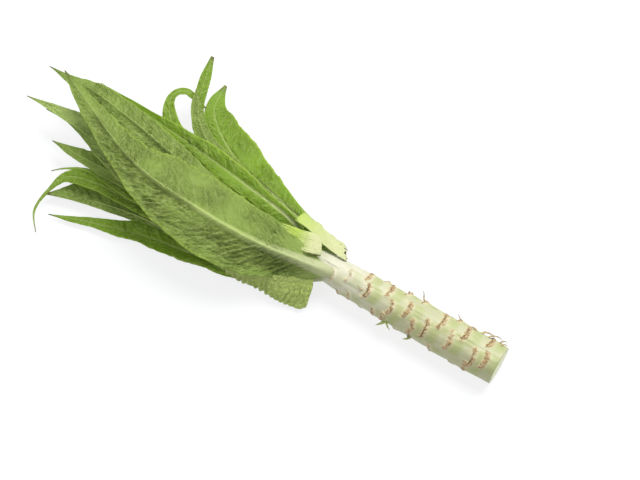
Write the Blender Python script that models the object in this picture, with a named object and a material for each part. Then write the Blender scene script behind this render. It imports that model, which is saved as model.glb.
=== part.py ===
"""Celtuce, picked and lying on its side: a bare scarred stem with its crown of long leaves.

The design frame has its origin on the table under the place where the lowest leaves leave the
stem, with +X towards the cut end and +Z up. The finished model is then slid along the table so
that the origin is at the bottom centre of its box. Lists of places are in millimetres.
"""

import math
from dataclasses import dataclass

import bmesh
import bpy
from mathutils import Matrix, Vector

MM = 0.001

# Stem: from the cut end, along the bare scarred length, into the crown.
STEM_CUT_X = 186.0
STEM_APEX_X = -84.0
STEM_RADII = (19.0, 19.2, 18.6, 17.6, 16.6, 15.4, 12.6, 8.6, 4.0)
STEM_HEIGHTS = (19.2, 19.4, 19.6, 20.2, 21.0, 22.4, 24.2, 26.0, 27.4)
STEM_SIDES = 24
STEM_RINGS = 17
APEX_LENGTH = 5.0

# Stubs: torn bases of stripped leaves that still stand on the stem, as places along the stem
# and angles round it, 0 on top and positive towards +Y, with the arc that each one spans.
STUBS = (
    (46, -23, 62),
    (65, 24, 70),
    (80, 66, 56),
    (98, 68, 60),
    (112, -35, 70),
    (123, 19, 76),
    (136, 66, 60),
    (148, 14, 60),
    (73, -84, 44),
    (100, -92, 44),
    (164, -38, 60),
    (172, 40, 66),
)
STUB_WIDTH = 2.0
STUB_RISE = 2.6
STUB_END_RISE = 0.6
STUB_GAP = 0.35
STUB_STEPS = 6

# Leaves: the blade's thickness, the gap between its root and the stem's skin, and where it is
# divided across.
BLADE_THICKNESS = 1.1
ROOT_GAP = 1.2
ACROSS = (-1.0, -0.5, 0.0, 0.5, 1.0)

# Midrib: its height at the root as a share of the full height, the share of the leaf over
# which it grows, and how fast it thins out towards the tip.
RIB_AT_ROOT = 0.25
RIB_RISE_SHARE = 0.08
RIB_THINNING = 1.3

SHARP_EDGE = math.radians(50)

GREEN_OUTER = (0.24, 0.40, 0.10, 1.0)
GREEN_INNER = (0.17, 0.38, 0.04, 1.0)
STEM_GREEN = (0.62, 0.70, 0.42, 1.0)
DRY_BROWN = (0.48, 0.33, 0.20, 1.0)


@dataclass(frozen=True)
class Leaf:
    """One leaf, described from the stem to its tip.

    root is the place along the stem and the angle round it where the leaf grows, and spine the
    places that its midrib passes after that. roll is the turn of the blade about its midrib,
    0 with the inner face up and 180 with the outer face up; fold is the rise of each half
    towards the inner face. Both are read evenly along the leaf. low and high are the widths of
    its two halves, read the same way, and high lies on the +Y side when the outer face is up.
    Lengths are in millimetres and angles in degrees.
    """

    name: str
    root: tuple
    spine: tuple
    roll: tuple
    fold: tuple
    low: tuple
    high: tuple
    rib: float = 2.6
    rows: int = 13
    colour: tuple = GREEN_OUTER


LEAVES = (
    Leaf(
        name="leaf_top",
        root=(2, -32),
        spine=((-27, -17, 47), (-62, -26, 57), (-104, -30, 64), (-146, -29, 68),
               (-192, -25, 68), (-238, -11, 64), (-284, 10, 58), (-337, 35, 52)),
        roll=(148, 176, 180, 178), fold=(14, 16, 12), rib=4.5, rows=16,
        low=(2.5, 19.5, 31.5, 37.5, 37.5, 32.5, 23.5, 16.5, 13, 9, 1),
        high=(2.5, 15.5, 29.5, 37, 40, 40, 32.5, 20.5, 14, 7, 1),
    ),
    Leaf(
        name="leaf_top_back",
        root=(-14, 12),
        spine=((-50, 4, 44), (-101, 4, 49), (-150, 7, 51), (-200, 15, 51),
               (-250, 25, 49), (-305, 34, 44), (-360, 37, 38)),
        roll=(192, 180, 178), fold=(10, 8, 6), rib=3.4, rows=14,
        low=(5, 10, 17, 22, 24, 22, 17, 9, 1),
        high=(4, 4.5, 6, 9.5, 14.5, 15, 13.5, 7.5, 1),
    ),
    Leaf(
        name="leaf_left_long",
        root=(-32, 4),
        spine=((-80, -2, 40), (-130, -9, 43), (-180, -10, 44), (-235, -3, 42),
               (-295, 4, 39), (-361, -2, 34)),
        roll=(184, 182, 178), fold=(6, 6, 6),
        low=(4, 7.5, 12, 16, 18, 17, 13, 8, 1),
        high=(4, 7.5, 12, 16, 18, 17, 9, 3, 1),
    ),
    Leaf(
        name="leaf_left_broad",
        root=(-26, -48),
        spine=((-70, -20, 32), (-115, -23, 34), (-165, -22, 36), (-217, -12, 35),
               (-280, -1, 31), (-339, -1, 26)),
        roll=(132, 158, 176, 182, 182, 180, 180), fold=(5, 5, 6),
        low=(4, 7.5, 12, 16.5, 20, 21.5, 17.5, 6, 1),
        high=(4, 7.5, 12, 16, 18, 17.5, 14, 9, 1),
    ),
    Leaf(
        name="leaf_left_narrow",
        root=(-48, -30),
        spine=((-100, -12, 29), (-165, -20, 30), (-230, -26, 28), (-273, -27, 26),
               (-314, -26, 22)),
        roll=(150, 176, 180, 180, 184), fold=(8, 6, 6), rib=1.6, rows=11,
        low=(4, 5.5, 7, 8.5, 9, 9, 8, 5.5, 1),
        high=(4, 5.5, 7, 8.5, 10, 11.5, 12.5, 9, 1),
    ),
    Leaf(
        name="leaf_left_curled",
        root=(-42, -104),
        spine=((-100, -26, 22.5), (-165, -33, 25), (-225, -35, 24), (-262, -35, 23),
               (-285, -44, 20), (-297, -53, 17)),
        roll=(76, 26, 8, 6, 6, 8, 10), fold=(6, 6, 8), rib=1.6, colour=GREEN_INNER,
        low=(4, 5.5, 7, 8, 8, 7.5, 5, 1.5, 1),
        high=(4, 5.5, 7, 8, 8, 7.5, 5, 2.5, 1),
    ),
    Leaf(
        name="leaf_left_drooping",
        root=(-34, -140),
        spine=((-90, -24, 17.5), (-150, -37, 20), (-205, -41, 21), (-248, -42, 20),
               (-278, -51, 19), (-288, -72, 14), (-289, -95, 8), (-276, -112, 3)),
        roll=(40, 8, 4, 2, 0, 0, 0), fold=(6, 6, 8), rib=1.6, rows=18,
        colour=GREEN_INNER,
        low=(4, 6, 8, 9.5, 9.5, 9.5, 8.5, 1.5, 1),
        high=(4, 5.5, 7, 8, 8, 8, 7.5, 2, 1),
    ),
    Leaf(
        name="leaf_front_ribbed",
        root=(0, -84),
        spine=((-40, -35, 24), (-90, -47, 15), (-140, -47, 15), (-186, -47, 15),
               (-230, -54, 14), (-262, -63, 13), (-288, -75, 12)),
        roll=(96, 140, 172, 178, 180, 180, 180), fold=(8, 7, 8),
        low=(5, 5, 5, 5, 4.5, 3, 3.5, 6.5, 6.5, 4.5, 1),
        high=(5, 9, 13.5, 16.5, 19.5, 21, 22.5, 23.5, 22.5, 16.5, 1),
    ),
    Leaf(
        name="leaf_front_low",
        root=(-2, -140),
        spine=((-45, -24, 6.5), (-90, -44, 8), (-135, -53, 8), (-180, -61, 8),
               (-230, -75, 7), (-276, -90, 5)),
        roll=(40, 4, 0, 0, 0, 0, 0), fold=(4, 4, 6), rib=1.2, colour=GREEN_INNER,
        low=(4, 7, 10, 12.5, 13, 13.5, 9.5, 4.5, 1),
        high=(4, 7, 9, 9, 10, 9.5, 8, 4, 1),
    ),
    Leaf(
        name="leaf_front_under",
        root=(-28, -174),
        spine=((-50, -9, 3.2), (-75, -23, 2.6), (-110, -36, 2.6), (-150, -46, 2.6), (-205, -50, 2.6)),
        roll=(20, 0, 0, 0, 0), fold=(2, 2, 4), rib=1.4, rows=11, colour=GREEN_INNER,
        low=(3, 5, 10, 14.5, 15, 13, 9, 4.5, 1),
        high=(3, 5, 11, 21, 20, 19.5, 13, 4, 1),
    ),
    Leaf(
        name="leaf_front_lobe",
        root=(-18, -116),
        spine=((-22, -26, 15), (-28, -37, 12.5), (-33, -47, 8.5)),
        roll=(10, 0, 0), fold=(0, 0, 0), rib=0.6, rows=7,
        low=(4, 8, 12, 15, 23, 34, 34), high=(4, 10, 18, 24, 27, 26, 20),
    ),
    Leaf(
        name="leaf_back_folded",
        root=(-22, 58),
        spine=((-60, 21, 35), (-115, 29, 35), (-165, 36, 34), (-200, 40, 34),
               (-240, 44, 32), (-274, 49, 29), (-310, 54, 24)),
        roll=(-110, -44, -20, -12, -12, -12, -14), fold=(8, 18, 24), rib=1.6,
        colour=GREEN_INNER,
        low=(4, 5.5, 7, 12.5, 13.5, 10.5, 6.5, 3.5, 1),
        high=(4, 5, 7, 12, 10, 5, 2, 1, 1),
    ),
    Leaf(
        name="leaf_back_looped",
        root=(-46, 76),
        spine=((-74, 16, 22), (-100, 24, 22), (-150, 33, 23), (-185, 41, 24), (-212, 47, 26),
               (-228, 59, 29), (-235, 71, 32), (-234, 81, 34), (-226, 88, 33), (-216, 88.5, 27),
               (-203, 87, 21)),
        roll=(-104, -40, -8, 0, 0, 0, 0), fold=(6, 6, 10), rib=1.2, rows=18,
        low=(4, 6, 8, 6.5, 6.5, 7.5, 7, 4, 1),
        high=(4, 6, 9, 10.5, 11, 11, 7.5, 4, 1),
    ),
    Leaf(
        name="leaf_back_upright",
        root=(-36, 118),
        spine=((-80, 28, 16.5), (-135, 41, 18), (-180, 56, 20), (-205, 76, 29),
               (-214, 100, 37), (-223, 132, 42)),
        roll=(-62, -150, -174, -176, -174, -170, -168), fold=(4, 6, 16), rib=1.2, rows=16,
        low=(4, 6, 9, 11.5, 12, 10, 7.5, 6, 1),
        high=(4, 6, 9, 11.5, 12, 9, 6.5, 6, 1),
    ),
    Leaf(
        name="leaf_back_broad",
        root=(0, 108),
        spine=((-40, 30, 13), (-85, 42, 11), (-127, 51, 11), (-169, 68.5, 11),
               (-199, 94.4, 9), (-206, 127, 6)),
        roll=(-72, -30, -8, 0, 0, 14, 24), fold=(5, 4, -12, -12, 10), rib=1.6,
        colour=GREEN_INNER,
        low=(5, 9.5, 8.5, 15, 23.5, 27.5, 26, 16, 1),
        high=(5, 8, 11, 10, 8.5, 7, 11, 9.5, 1),
    ),
    Leaf(
        name="leaf_back_under",
        root=(-36, 164),
        spine=((-60, 22, 2.6), (-100, 38, 2.6), (-150, 54, 2.6), (-195, 66, 2.6)),
        roll=(-22, 0, 0, 0, 0), fold=(2, 2, 4), rib=1.4, rows=11, colour=GREEN_INNER,
        low=(3, 7, 14, 18.5, 17, 12.5, 8, 3.5, 1),
        high=(3, 7, 14, 18.5, 17, 12.5, 8, 3.5, 1),
    ),
)

# Flap: the torn sheath of an outer leaf, still wrapped round the back of the stem's top, as
# places along the stem and the angles that it covers.
FLAP_X = (11.0, 2.0, -7.0, -16.0)
FLAP_ANGLES = ((52, 74), (40, 78), (36, 80), (38, 80))
FLAP_GAP = 0.4
FLAP_THICKNESS = 1.2
FLAP_STEPS = 5


def along(values: tuple, share: float):
    """The smooth value at a share, 0 to 1, of a row of evenly spaced values."""
    last = len(values) - 1
    first = min(int(share * last), last - 1)
    t = share * last - first
    before = values[max(first - 1, 0)]
    start = values[first]
    end = values[first + 1]
    after = values[min(first + 2, last)]
    return 0.5 * (
        start * 2
        + (end - before) * t
        + (before * 2 - start * 5 + end * 4 - after) * t ** 2
        + (start * 3 - before - end * 3 + after) * t ** 3
    )


def even_line(points: tuple, count: int) -> list[Vector]:
    """Points evenly spaced along the smooth curve through the given ones."""
    fine_steps = 24 * (len(points) - 1)
    given = tuple(Vector(p) for p in points)
    fine = [along(given, i / fine_steps) for i in range(fine_steps + 1)]
    travelled = [0.0]
    for a, b in zip(fine, fine[1:]):
        travelled.append(travelled[-1] + (b - a).length)
    line = []
    i = 0
    for n in range(count):
        want = travelled[-1] * n / (count - 1)
        while i < fine_steps - 1 and travelled[i + 1] < want:
            i += 1
        step = travelled[i + 1] - travelled[i]
        line.append(fine[i].lerp(fine[i + 1], (want - travelled[i]) / step))
    return line


def rib_thickness(leaf: Leaf, share: float) -> float:
    """How far the midrib stands out of the outer face, thickest just past the base."""
    start = min(1.0, RIB_AT_ROOT + share / RIB_RISE_SHARE)
    return leaf.rib * start * (1.0 - share) ** RIB_THINNING


def add_object(name: str, mesh_builder: bmesh.types.BMesh, material: bpy.types.Material):
    """Turns a bmesh in millimetres into a named object in metres."""
    bmesh.ops.scale(mesh_builder, vec=(MM, MM, MM), verts=mesh_builder.verts)
    bmesh.ops.recalc_face_normals(mesh_builder, faces=mesh_builder.faces)
    mesh = bpy.data.meshes.new(name)
    mesh_builder.to_mesh(mesh)
    mesh_builder.free()
    mesh.materials.append(material)
    mesh.shade_smooth()
    mesh.set_sharp_from_angle(angle=SHARP_EDGE)
    made = bpy.data.objects.new(name, mesh)
    bpy.context.scene.collection.objects.link(made)
    return made


def finish(name: str, colour: tuple, roughness: float) -> bpy.types.Material:
    """A plain Principled material."""
    material = bpy.data.materials.new(name)
    material.use_nodes = True
    shader = material.node_tree.nodes["Principled BSDF"]
    shader.inputs["Base Color"].default_value = colour
    shader.inputs["Roughness"].default_value = roughness
    shader.inputs["Metallic"].default_value = 0.0
    return material


def bridge_rows(shape: bmesh.types.BMesh, rows: list, closed: bool) -> None:
    """Joins each row of vertices to the next with quads."""
    for row, following in zip(rows, rows[1:]):
        last = len(row) if closed else len(row) - 1
        for i in range(last):
            j = (i + 1) % len(row)
            shape.faces.new((row[i], row[j], following[j], following[i]))


def make_leaf(leaf: Leaf, material: bpy.types.Material) -> bpy.types.Object:
    """A thin curved blade with its midrib standing out of the outer face."""
    root = stem_point(leaf.root[0], math.radians(leaf.root[1]), ROOT_GAP)
    line = even_line((root, *leaf.spine), leaf.rows + 1)
    shape = bmesh.new()
    rows = []
    for i, place in enumerate(line):
        share = i / leaf.rows
        tangent = (line[min(i + 1, leaf.rows)] - line[max(i - 1, 0)]).normalized()
        level = (Vector((0, 0, 1)) - tangent * tangent.z).normalized()
        turn = Matrix.Rotation(math.radians(along(leaf.roll, share)), 3, tangent)
        inner = turn @ level
        side = inner.cross(tangent)
        fold = math.radians(along(leaf.fold, share))
        low, high = along(leaf.low, share), along(leaf.high, share)
        rib = rib_thickness(leaf, share)
        inner_row = []
        outer_row = []
        for v in ACROSS:
            reach = abs(v) * (low if v < 0 else high)
            lean = math.copysign(1.0, v) if v else 0.0
            blade_normal = (inner * math.cos(fold) - side * lean * math.sin(fold)).normalized()
            middle = place + side * lean * reach * math.cos(fold) + inner * reach * math.sin(fold)
            half = blade_normal * BLADE_THICKNESS / 2 if v else inner * BLADE_THICKNESS / 2
            inner_row.append(shape.verts.new(middle + half))
            outer_row.append(shape.verts.new(middle - half - inner * (rib if not v else 0.0)))
        rows.append(inner_row + outer_row[::-1])
    bridge_rows(shape, rows, closed=True)
    shape.faces.new(rows[0][::-1])
    shape.faces.new(rows[-1])
    bmesh.ops.triangulate(shape, faces=shape.faces)
    return add_object(leaf.name, shape, material)


def stem_section(x: float) -> tuple[float, float]:
    """The stem's radius and the height of its axis at a place along it."""
    share = (STEM_CUT_X - x) / (STEM_CUT_X - STEM_APEX_X)
    return along(STEM_RADII, share), along(STEM_HEIGHTS, share)


def stem_point(x: float, angle: float, lift: float) -> Vector:
    """A point on or above the stem's skin; the angle is 0 on top and positive towards +Y."""
    radius, height = stem_section(x)
    reach = radius + lift
    return Vector((x, reach * math.sin(angle), height + reach * math.cos(angle)))


def make_stem(material: bpy.types.Material) -> bpy.types.Object:
    """The solid stem, flat at its cut end and rounded off where the youngest leaves grow."""
    shape = bmesh.new()
    rows = []
    for i in range(STEM_RINGS):
        x = STEM_CUT_X + (STEM_APEX_X - STEM_CUT_X) * i / (STEM_RINGS - 1)
        ring = [2 * math.pi * (k + 0.5) / STEM_SIDES for k in range(STEM_SIDES)]
        rows.append([shape.verts.new(stem_point(x, angle, 0.0)) for angle in ring])
    bridge_rows(shape, rows, closed=True)
    shape.faces.new(rows[0])
    apex = shape.verts.new(Vector((STEM_APEX_X - APEX_LENGTH, 0, stem_section(STEM_APEX_X)[1])))
    for i in range(STEM_SIDES):
        shape.faces.new((rows[-1][i], rows[-1][(i + 1) % STEM_SIDES], apex))
    bmesh.ops.triangulate(shape, faces=shape.faces)
    return add_object("stem", shape, material)


def make_stub(number: int, place: tuple, material: bpy.types.Material) -> bpy.types.Object:
    """A crescent of dry leaf base that follows the stem's skin and leans towards the crown."""
    x, angle_deg, span_deg = place
    shape = bmesh.new()
    rows = []
    for i in range(STUB_STEPS + 1):
        share = 2 * i / STUB_STEPS - 1
        angle = math.radians(angle_deg + share * span_deg / 2)
        rise = STUB_GAP + STUB_END_RISE + (STUB_RISE - STUB_END_RISE) * (1 - share ** 2)
        back = STUB_WIDTH * share ** 2
        rows.append([
            shape.verts.new(stem_point(x - back, angle, STUB_GAP)),
            shape.verts.new(stem_point(x - back - STUB_WIDTH, angle, STUB_GAP)),
            shape.verts.new(stem_point(x - back - STUB_WIDTH, angle, rise)),
        ])
    bridge_rows(shape, rows, closed=True)
    shape.faces.new(rows[0])
    shape.faces.new(rows[-1][::-1])
    bmesh.ops.triangulate(shape, faces=shape.faces)
    return add_object(f"leaf_stub_{number:02d}", shape, material)


def make_flap(material: bpy.types.Material) -> bpy.types.Object:
    """The torn sheath, a thin curved sheet just off the stem's skin."""
    shape = bmesh.new()
    rows = []
    for x, (first, last) in zip(FLAP_X, FLAP_ANGLES):
        angles = [math.radians(first + (last - first) * k / FLAP_STEPS)
                  for k in range(FLAP_STEPS + 1)]
        under = [shape.verts.new(stem_point(x, a, FLAP_GAP)) for a in angles]
        over = [shape.verts.new(stem_point(x, a, FLAP_GAP + FLAP_THICKNESS)) for a in angles]
        rows.append(under + over[::-1])
    bridge_rows(shape, rows, closed=True)
    shape.faces.new(rows[0])
    shape.faces.new(rows[-1][::-1])
    bmesh.ops.triangulate(shape, faces=shape.faces)
    return add_object("leaf_flap", shape, material)


def slide_to_origin(objects: list[bpy.types.Object]) -> None:
    """Moves every object alike so that the model's box stands centred on the origin."""
    corners = [vertex.co for made in objects for vertex in made.data.vertices]
    low = [min(c[axis] for c in corners) for axis in range(3)]
    high = [max(c[axis] for c in corners) for axis in range(3)]
    centre = Vector(((low[0] + high[0]) / 2, (low[1] + high[1]) / 2, low[2]))
    for made in objects:
        made.location = -centre


def main() -> None:
    """Builds the stem, the leaves, the stubs and the flap."""
    for old in list(bpy.data.objects):
        bpy.data.objects.remove(old)
    finishes = {colour: finish(name, colour, 0.5) for name, colour in (
        ("leaf_outer_face", GREEN_OUTER), ("leaf_inner_face", GREEN_INNER),
        ("stem_skin", STEM_GREEN), ("dry_leaf_base", DRY_BROWN))}
    made = [make_stem(finishes[STEM_GREEN])]
    made += [make_leaf(leaf, finishes[leaf.colour]) for leaf in LEAVES]
    made += [make_stub(i + 1, place, finishes[DRY_BROWN]) for i, place in enumerate(STUBS)]
    made.append(make_flap(finishes[STEM_GREEN]))
    slide_to_origin(made)


if __name__ == "__main__":
    main()
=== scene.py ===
"""A picked celtuce lying on a pale table: bare scarred stem, torn leaf bases and a crown of long leaves."""

import logging
import math
from dataclasses import dataclass
from enum import Enum

import bpy
import numpy as np
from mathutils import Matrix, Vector

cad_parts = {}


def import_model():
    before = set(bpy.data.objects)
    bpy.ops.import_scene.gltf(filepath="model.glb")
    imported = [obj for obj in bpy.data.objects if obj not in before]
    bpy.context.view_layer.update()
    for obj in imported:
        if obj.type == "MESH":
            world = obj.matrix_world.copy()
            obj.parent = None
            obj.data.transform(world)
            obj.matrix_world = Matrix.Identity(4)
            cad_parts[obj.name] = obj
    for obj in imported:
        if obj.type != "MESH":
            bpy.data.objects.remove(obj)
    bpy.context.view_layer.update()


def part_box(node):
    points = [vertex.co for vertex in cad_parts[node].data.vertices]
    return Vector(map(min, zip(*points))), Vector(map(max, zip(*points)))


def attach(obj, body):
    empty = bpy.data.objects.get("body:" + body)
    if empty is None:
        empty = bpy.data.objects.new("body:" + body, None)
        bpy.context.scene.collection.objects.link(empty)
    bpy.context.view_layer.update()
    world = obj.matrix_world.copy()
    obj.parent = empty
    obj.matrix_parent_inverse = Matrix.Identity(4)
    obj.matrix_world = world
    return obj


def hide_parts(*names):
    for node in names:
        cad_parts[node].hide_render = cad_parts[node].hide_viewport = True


log = logging.getLogger("celtuce")

Array = np.ndarray
Socket = bpy.types.NodeSocket
Material = bpy.types.Material

MM = 0.001
PRESSED_BELOW = 0.5 * MM  # relief lower than this is pressed flat on the table

# Stem, in the part's own design frame: origin under the crown, +X towards the cut end.
STEM_CUT_X = 186.0
STEM_APEX_X = -84.0
STEM_RADII = (19.0, 19.2, 18.6, 17.6, 16.6, 15.4, 12.6, 8.6, 4.0)
STEM_HEIGHTS = (19.2, 19.4, 19.6, 20.2, 21.0, 22.4, 24.2, 26.0, 27.4)
STEM_LOWEST = 0.363


class Slot(Enum):
    """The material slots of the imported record."""

    OUTER = "leaf_outer_face"
    INNER = "leaf_inner_face"
    STEM = "stem_skin"
    DRY = "dry_leaf_base"


# ---------------------------------------------------------------- curves and noise


def along(values: tuple | Array, share: Array) -> Array:
    """The smooth value at shares, 0 to 1, of a row of evenly spaced values.

    Args:
        values: the row of numbers or places.
        share: where to read it, each 0 to 1.

    Returns:
        One value or place for each share.
    """
    row = np.asarray(values, float)
    last = len(row) - 1
    first = np.clip((share * last).astype(int), 0, last - 1)
    t = share * last - first
    if row.ndim > 1:
        t = t[..., None]
    before = row[np.maximum(first - 1, 0)]
    start = row[first]
    end = row[first + 1]
    after = row[np.minimum(first + 2, last)]
    return 0.5 * (
        2 * start
        + (end - before) * t
        + (2 * before - 5 * start + 4 * end - after) * t ** 2
        + (3 * start - before - 3 * end + after) * t ** 3
    )


def even_line(points: Array, count: int) -> tuple[Array, float]:
    """Points evenly spaced along the smooth curve through the given ones.

    Args:
        points: the places that the curve passes.
        count: how many points to return.

    Returns:
        The points, and the curve's length.
    """
    fine = along(points, np.linspace(0.0, 1.0, 80 * (len(points) - 1) + 1))
    steps = np.linalg.norm(np.diff(fine, axis=0), axis=1)
    travelled = np.concatenate([[0.0], np.cumsum(steps)])
    wanted = np.linspace(0.0, travelled[-1], count)
    line = np.stack([np.interp(wanted, travelled, fine[:, a]) for a in range(3)], axis=1)
    return line, float(travelled[-1])


def wrapped(degrees: float | Array) -> float | Array:
    """The same turn, between -180 and 180 degrees."""
    return (degrees + 180) % 360 - 180


def unit(vectors: Array) -> Array:
    """The vectors scaled to length one."""
    return vectors / np.maximum(np.linalg.norm(vectors, axis=-1, keepdims=True), 1e-12)


def chance(i: Array, j: Array, seed: float) -> Array:
    """A repeatable number from 0 to 1 for each pair of whole numbers."""
    mixed = np.sin(i * 127.1 + j * 311.7 + seed * 74.7) * 43758.5453
    return mixed - np.floor(mixed)


def ripple(x: Array, y: Array, seed: float) -> Array:
    """Smooth random waves between -1 and 1, one wave to each unit of x and y.

    Args:
        x: place along.
        y: place across.
        seed: which pattern.

    Returns:
        The height of the waves.
    """
    i, j = np.floor(x), np.floor(y)
    u, v = x - i, y - j
    u, v = u * u * (3 - 2 * u), v * v * (3 - 2 * v)
    low = chance(i, j, seed) * (1 - u) + chance(i + 1, j, seed) * u
    high = chance(i, j + 1, seed) * (1 - u) + chance(i + 1, j + 1, seed) * u
    return 2 * (low * (1 - v) + high * v) - 1


def waves(s: Array, t: Array, size: tuple, seed: float) -> Array:
    """Ripples of a given length along s and width along t."""
    return ripple(s / size[0], t / size[1], seed)


def cells(x: Array, y: Array, seed: float) -> Array:
    """How far each place is from the border of its cell, 0 on the border and about 1 inside.

    Args:
        x: place along, in cells.
        y: place across, in cells.
        seed: which pattern.

    Returns:
        The distance from the border.
    """
    i, j = np.floor(x), np.floor(y)
    nearest = np.full(np.shape(x), 9.0)
    second = nearest.copy()
    for di in (-1, 0, 1):
        for dj in (-1, 0, 1):
            a, b = i + di, j + dj
            px = a + 0.15 + 0.7 * chance(a, b, seed)
            py = b + 0.15 + 0.7 * chance(a, b, seed + 5.5)
            away = np.hypot(x - px, y - py)
            second = np.minimum(second, np.maximum(nearest, away))
            nearest = np.minimum(nearest, away)
    return np.clip((second - nearest) * 1.6, 0.0, 1.0)


def smooth(low: float, high: float, value: Array) -> Array:
    """A smooth step from 0 at low to 1 at high."""
    t = np.clip((value - low) / (high - low), 0.0, 1.0)
    return t * t * (3 - 2 * t)


def bump_at(value: Array, middle: float | Array, spread: float | Array) -> Array:
    """A bell of height 1 round the middle."""
    return np.exp(-(((value - middle) / spread) ** 2))


# ---------------------------------------------------------------- the stem's shape


def stem_section(x: Array) -> tuple[Array, Array]:
    """The stem's radius and the height of its axis at places along it."""
    share = np.clip((STEM_CUT_X - np.asarray(x, float)) / (STEM_CUT_X - STEM_APEX_X), 0.0, 1.0)
    return along(STEM_RADII, share), along(STEM_HEIGHTS, share)


def stem_point(x: Array, angle: Array, lift: Array) -> Array:
    """Points on or above the stem's skin.

    Args:
        x: place along the stem, in millimetres.
        angle: turn round the stem in radians, 0 on top and positive towards +Y.
        lift: height above the skin, in millimetres.

    Returns:
        The points, in millimetres.
    """
    x, angle, lift = np.broadcast_arrays(np.asarray(x, float), angle, lift)
    radius, height = stem_section(x)
    reach = radius + lift
    return np.stack([x, reach * np.sin(angle), height + reach * np.cos(angle)], axis=-1)


# ---------------------------------------------------------------- meshes


class Bench:
    """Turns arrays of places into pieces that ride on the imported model."""

    def __init__(self) -> None:
        """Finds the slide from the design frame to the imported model's frame."""
        low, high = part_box("stem")
        self.slide = np.array([
            high.x - STEM_CUT_X * MM,
            (low.y + high.y) / 2,
            low.z - STEM_LOWEST * MM,
        ])

    def piece(
        self,
        name: str,
        points: Array,
        faces: list,
        marks: dict[str, Array],
        material: Material,
    ) -> bpy.types.Object:
        """Makes a smooth mesh object from places in the design frame.

        Args:
            name: the piece's name.
            points: places in millimetres.
            faces: rows of point numbers.
            marks: named numbers or places for each point, read by the finish.
            material: the finish.

        Returns:
            The object, linked to the scene.
        """
        mesh = bpy.data.meshes.new(name)
        places = points * MM + self.slide
        pressed = PRESSED_BELOW * np.exp(np.minimum(places[:, 2] / PRESSED_BELOW - 1, 0))
        places[:, 2] = np.where(places[:, 2] < PRESSED_BELOW, pressed, places[:, 2])
        mesh.from_pydata(places.tolist(), [], faces)
        for mark, values in marks.items():
            if values.ndim == 2:
                layer = mesh.attributes.new(mark, "FLOAT_VECTOR", "POINT")
                layer.data.foreach_set("vector", values.astype(np.float32).ravel())
            else:
                layer = mesh.attributes.new(mark, "FLOAT", "POINT")
                layer.data.foreach_set("value", values.astype(np.float32).ravel())
        mesh.materials.append(material)
        mesh.shade_smooth()
        made = bpy.data.objects.new(name, mesh)
        bpy.context.scene.collection.objects.link(made)
        return made


def tube_faces(rows: int, around: int) -> list:
    """Quads that join each closed ring of points to the next.

    Args:
        rows: how many rings.
        around: points in each ring.

    Returns:
        The faces.
    """
    i = np.arange(rows - 1)[:, None] * around
    k = np.arange(around)[None, :]
    following = (k + 1) % around
    quads = np.stack([i + k, i + following, i + around + following, i + around + k], axis=-1)
    return quads.reshape(-1, 4).tolist()


def capped_tube(rows: int, around: int) -> list:
    """The faces of a tube of rings, closed at both ends.

    Args:
        rows: how many rings.
        around: points in each ring.

    Returns:
        The faces.
    """
    first_ring = list(range(around))
    last_ring = [(rows - 1) * around + k for k in first_ring]
    return tube_faces(rows, around) + [first_ring[::-1], last_ring]


def two_faces(upper: Array, lower: Array) -> Array:
    """Rings round a thin sheet: each row of its upper face, then back along its lower one."""
    return np.concatenate([upper, lower[:, ::-1]], axis=1)


def turned_over(faces: list) -> list:
    """The faces looking the other way."""
    return [face[::-1] for face in faces]


# ---------------------------------------------------------------- finishes


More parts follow.
